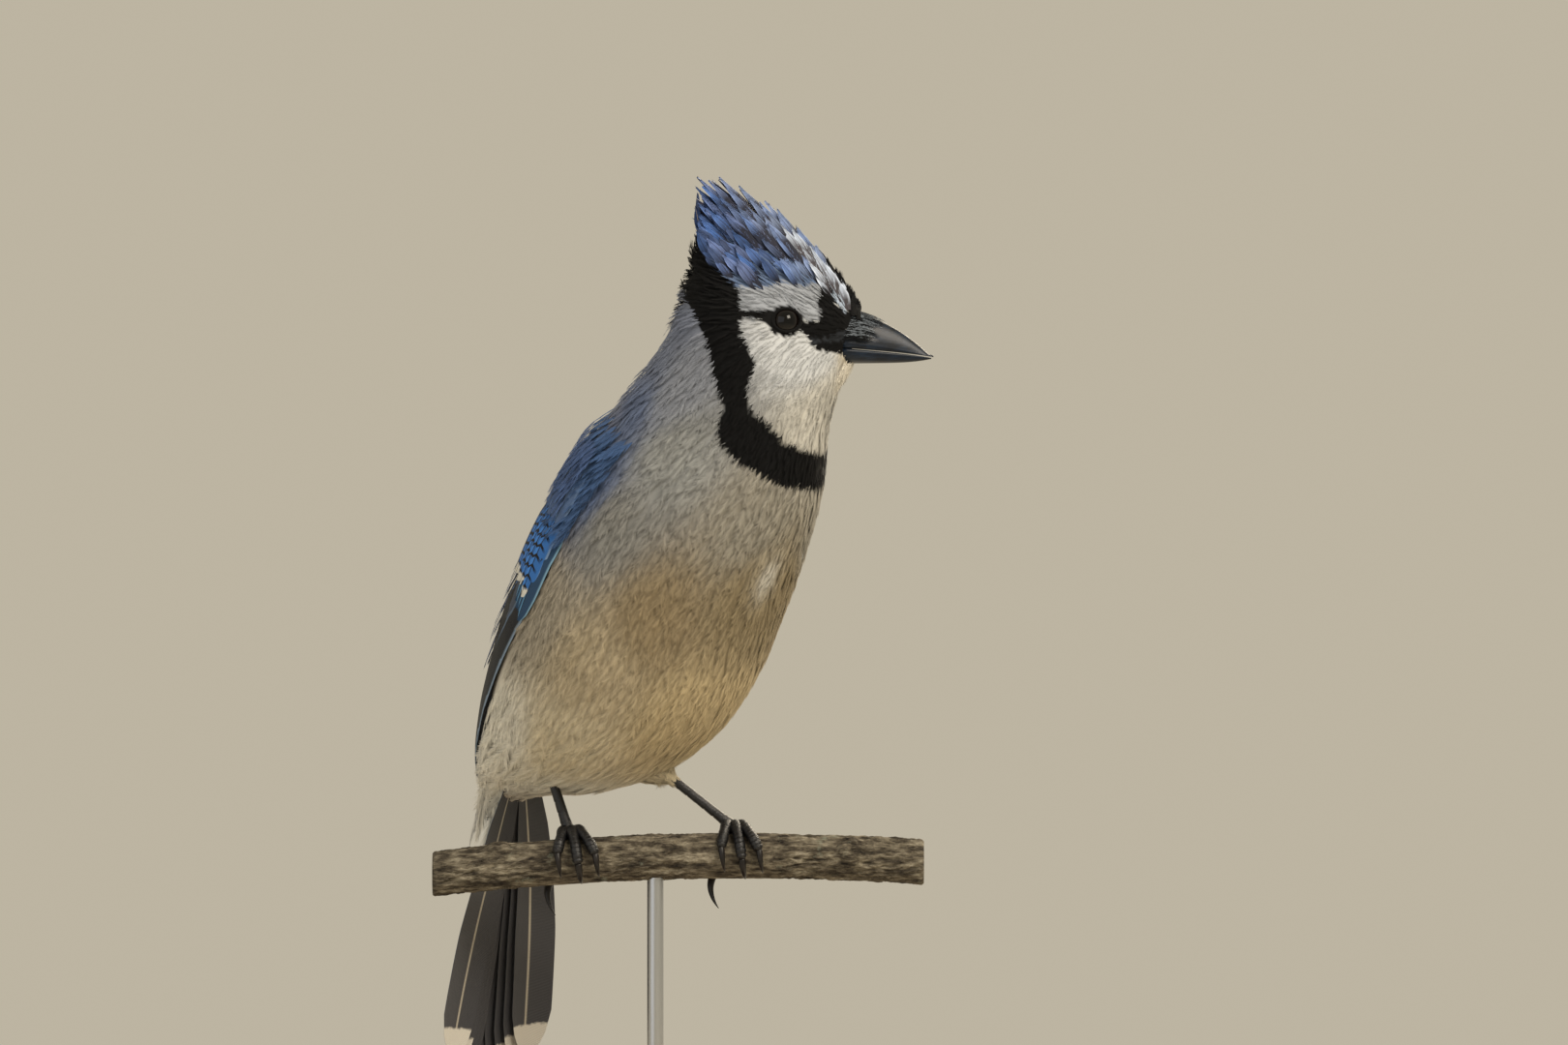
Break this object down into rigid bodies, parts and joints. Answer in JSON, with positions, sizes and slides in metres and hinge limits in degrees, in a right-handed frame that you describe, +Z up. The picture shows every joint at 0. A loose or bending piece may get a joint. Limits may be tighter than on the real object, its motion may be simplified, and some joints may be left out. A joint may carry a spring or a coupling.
{
  "type": "blue jay",
  "caption": "Life-size still blue jay with raised crest, gripping a short cut branch held by a turned base and one rod.",
  "frame": {"origin": "centre of the stand's flat underside", "axes": "+Z up, +X the way the bird looks and along the perch, -Y the side that its body turns towards"},
  "size_m": [0.1526, 0.1192, 0.3027],
  "materials": {
    "body_feathers": "soft feathers, grey and buff with blue crest and black collar",
    "flight_feathers": "stiff blue vanes with black bars and white tips",
    "eye": "clear polished dark brown",
    "horn": "satin black horn",
    "leg_skin": "scaled black skin",
    "bark": "rough grey brown bark",
    "walnut": "oiled walnut",
    "steel": "brushed"
  },
  "bodies": {
    "root": {"torso": "body_feathers", "neck": "body_feathers", "head": "body_feathers", "tail": "flight_feathers", "wing_right": "flight_feathers", "wing_left": "flight_feathers", "eye_right": "eye", "eye_left": "eye", "bill_upper": "horn", "bill_lower": "horn", "leg_right": "leg_skin", "leg_left": "leg_skin", "perch": "bark", "stand_base": "walnut", "stand_rod": "steel", "stand_collar": "steel", "claw_right_inner": "horn", "claw_right_middle": "horn", "claw_right_outer": "horn", "claw_right_hind": "horn", "claw_left_inner": "horn", "claw_left_middle": "horn", "claw_left_outer": "horn", "claw_left_hind": "horn"}
  },
  "joints": []
}
